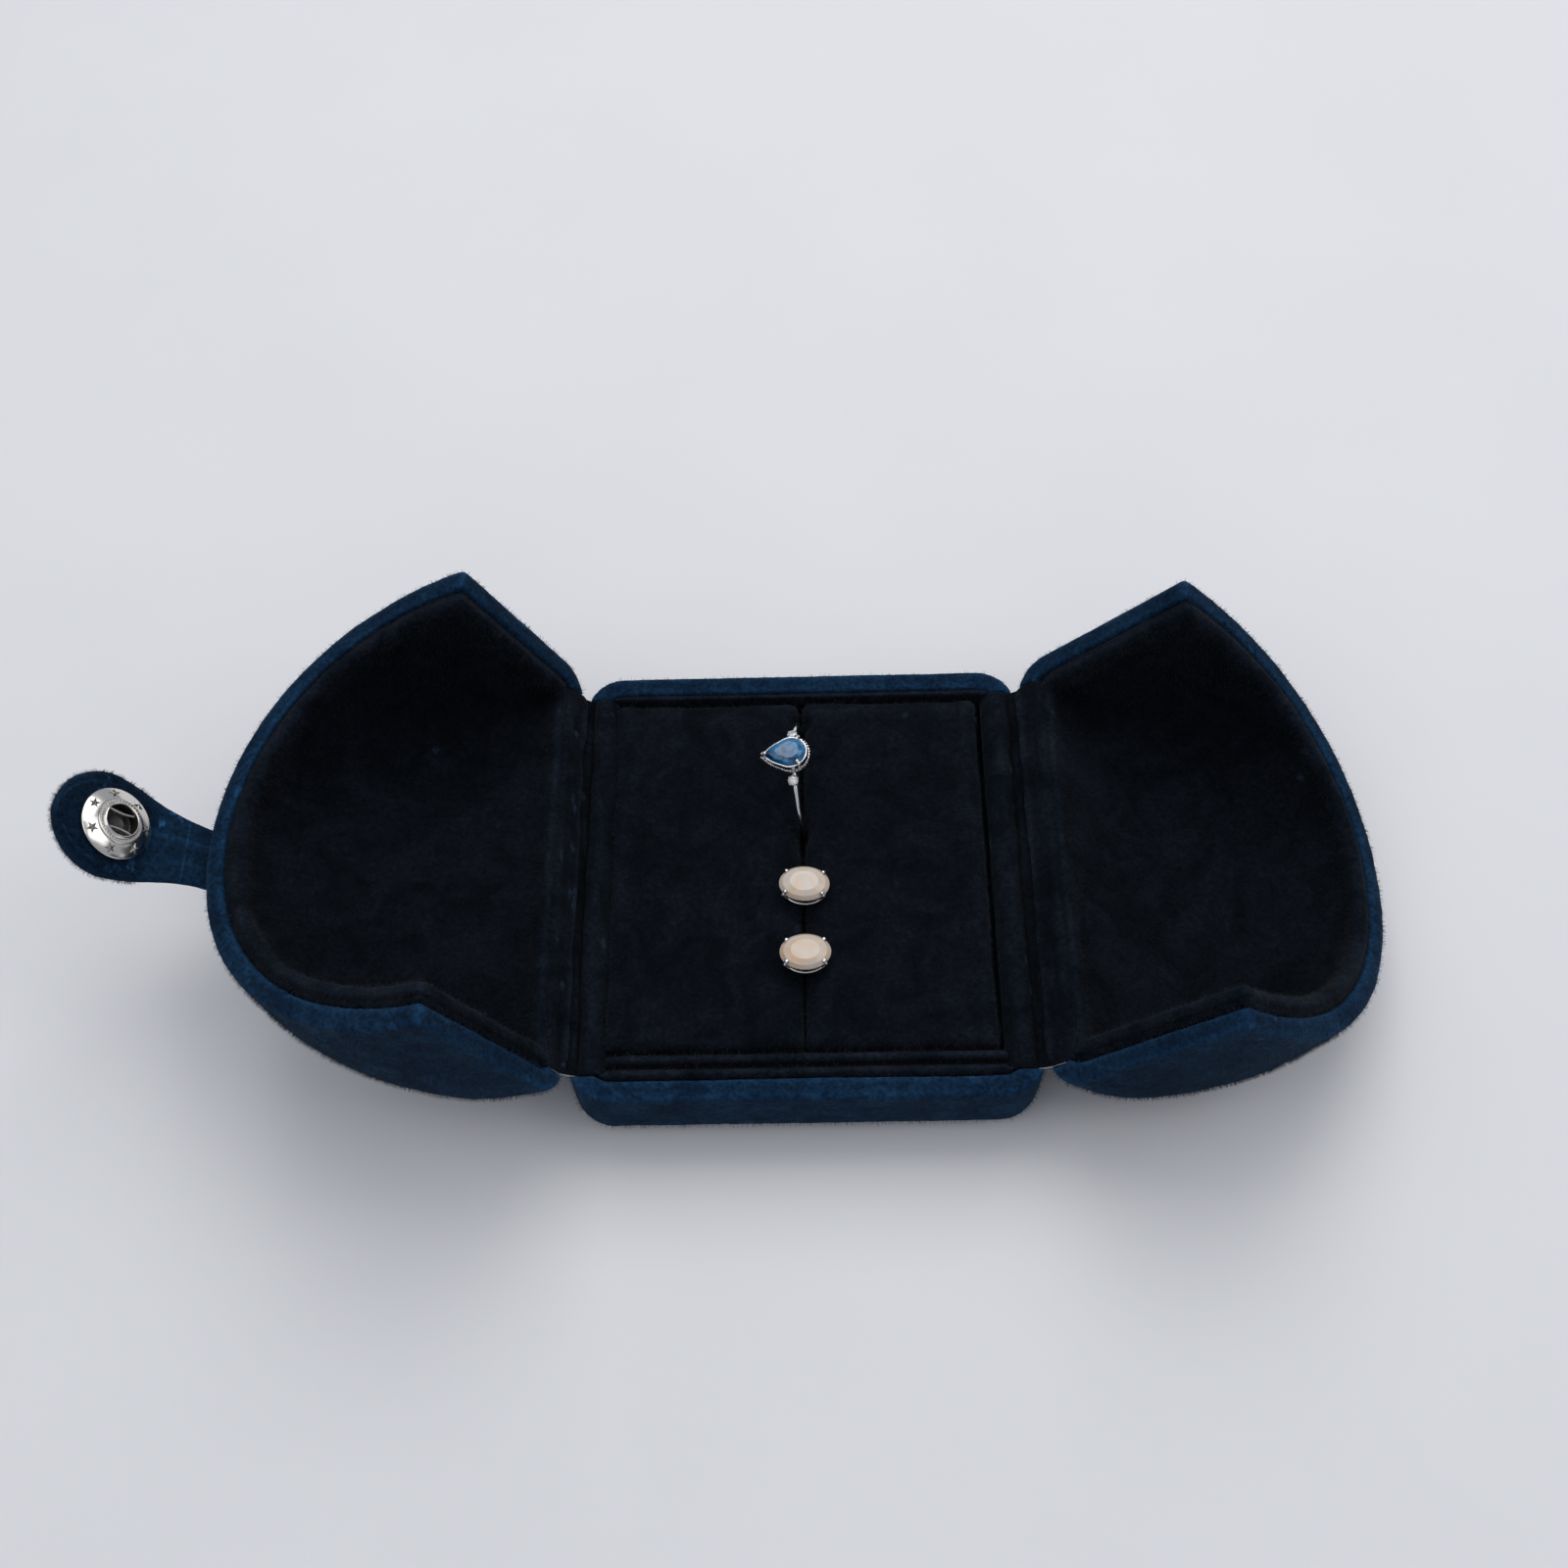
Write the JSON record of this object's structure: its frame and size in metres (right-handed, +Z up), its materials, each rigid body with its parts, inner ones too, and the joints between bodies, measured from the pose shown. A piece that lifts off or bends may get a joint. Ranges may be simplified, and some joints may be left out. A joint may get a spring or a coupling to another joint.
{
  "type": "jewelry gift box",
  "caption": "Velvet-covered jewelry gift box with two domed side doors, a snap strap and a slotted cushion, shown open with a ring and stud earrings.",
  "frame": {"origin": "centre of the base's underside, on the table", "axes": "+X towards the right-hand door, +Y towards the back of the box, +Z up out of the tray"},
  "size_m": [0.2043, 0.0754, 0.0483],
  "materials": {
    "navy_velvet": "short-pile velvet",
    "black_velvet": "plush short-pile velvet",
    "board": "matte moulded plastic",
    "foam": "open-cell foam",
    "clear_plastic": "clear flexible plastic",
    "card": "pressed card",
    "nickel": "polished nickel plate",
    "steel_wire": "spring wire",
    "silver": "polished silver",
    "blue_topaz": "faceted transparent gem",
    "clear_gem": "faceted transparent gem",
    "opal": "polished milky opal"
  },
  "bodies": {
    "base": {"base_velvet_cover": "navy_velvet", "base_shell": "board", "tray_frame": "black_velvet", "pad_board": "card", "left_pad_velvet": "black_velvet", "left_pad_foam": "foam", "right_pad_velvet": "black_velvet", "right_pad_foam": "foam", "left_hinge_plastic_base_leaf": "clear_plastic", "left_hinge_lining_base_half": "black_velvet", "right_hinge_plastic_base_leaf": "clear_plastic", "right_hinge_lining_base_half": "black_velvet"},
    "left_door": {"left_door_velvet_cover": "navy_velvet", "left_door_shell": "board", "left_door_foam": "foam", "left_door_lining": "black_velvet", "left_hinge_plastic_door_leaf": "clear_plastic", "left_hinge_lining_door_half": "black_velvet", "strap_root_tab": "navy_velvet"},
    "right_door": {"right_door_velvet_cover": "navy_velvet", "right_door_shell": "board", "right_door_foam": "foam", "right_door_lining": "black_velvet", "right_hinge_plastic_door_leaf": "clear_plastic", "right_hinge_lining_door_half": "black_velvet", "snap_stud": "nickel", "snap_stud_rivet": "nickel"},
    "strap_mid": {"strap_mid_outer_velvet": "navy_velvet", "strap_mid_stiffener": "card", "strap_mid_inner_velvet": "navy_velvet"},
    "strap_tip": {"strap_tip_outer_velvet": "navy_velvet", "strap_tip_stiffener": "card", "strap_tip_inner_velvet": "navy_velvet", "snap_socket": "nickel", "snap_cap": "nickel"},
    "front_spring_wire": {"snap_spring_wire_front": "steel_wire"},
    "back_spring_wire": {"snap_spring_wire_back": "steel_wire"},
    "ring": {"ring_band": "silver", "ring_setting": "silver", "ring_pear_gem": "blue_topaz", "ring_side_gems": "clear_gem"},
    "back_earring": {"back_earring_setting": "silver", "back_earring_opal": "opal"},
    "front_earring": {"front_earring_setting": "silver", "front_earring_opal": "opal"}
  },
  "joints": [
    {"name": "left_door_hinge", "type": "hinge", "parent": "base", "child": "left_door", "pos_m": [-0.036, 0, 0.016], "axis": [0, -1, 0], "range_deg": [-115.5, 18.3]},
    {"name": "right_door_hinge", "type": "hinge", "parent": "base", "child": "right_door", "pos_m": [0.036, 0, 0.016], "axis": [0, 1, 0], "range_deg": [-133.8, 0]},
    {"name": "strap_root_bend", "type": "hinge", "parent": "left_door", "child": "strap_mid", "pos_m": [-0.09106, 0, 0.02519], "axis": [0, -1, 0], "range_deg": [-13.44, 15]},
    {"name": "strap_tip_bend", "type": "hinge", "parent": "strap_mid", "child": "strap_tip", "pos_m": [-0.10033, 0, 0.03054], "axis": [0, -1, 0], "range_deg": [-20.54, 25]},
    {"name": "front_spring_spread", "type": "slide", "parent": "strap_tip", "child": "front_spring_wire", "axis": [0, -1, 0], "range_m": [0, 0.0004], "stiffness_N_per_m": 20},
    {"name": "back_spring_spread", "type": "slide", "parent": "strap_tip", "child": "back_spring_wire", "axis": [0, 1, 0], "range_m": [0, 0.0004], "stiffness_N_per_m": 20},
    {"name": "ring_lift", "type": "slide", "parent": "base", "child": "ring", "axis": [-0.1736, 0, 0.9848], "range_m": [0, 0.03]},
    {"name": "back_earring_lift", "type": "slide", "parent": "base", "child": "back_earring", "axis": [0, 0, 1], "range_m": [0, 0.02]},
    {"name": "front_earring_lift", "type": "slide", "parent": "base", "child": "front_earring", "axis": [0, 0, 1], "range_m": [0, 0.02]}
  ],
  "couplings": [
    {"joint": "back_spring_spread", "follows": "front_spring_spread", "ratio": 1}
  ]
}
